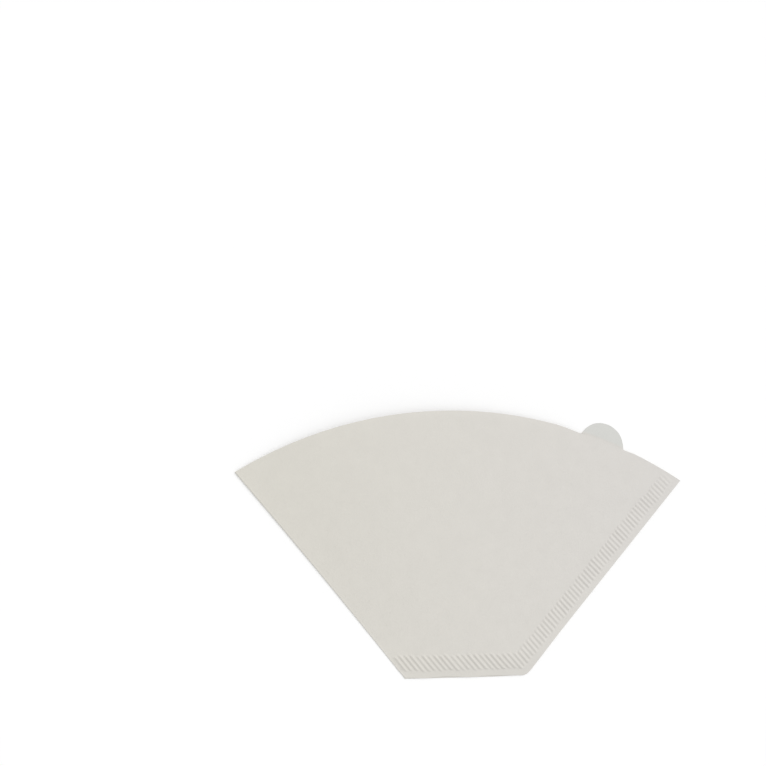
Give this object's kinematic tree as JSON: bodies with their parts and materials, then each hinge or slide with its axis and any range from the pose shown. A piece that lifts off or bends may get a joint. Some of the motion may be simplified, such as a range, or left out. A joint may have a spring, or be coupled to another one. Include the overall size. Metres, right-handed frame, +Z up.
{
  "type": "paper coffee filter",
  "caption": "Cone coffee filter folded flat: one sheet of filter paper with a fold, two crimped seams, a curved open mouth and a pull tab.",
  "frame": {"origin": "on the surface that the filter lies on, under the middle of its flat outline", "axes": "+Z up out of the front ply, +Y towards the open mouth, -X side is the fold and +X side the crimped seam"},
  "size_m": [0.165, 0.095, 0.0028],
  "materials": {
    "filter_paper": "matte"
  },
  "bodies": {
    "root": {"paper_filter": "filter_paper"}
  },
  "joints": []
}
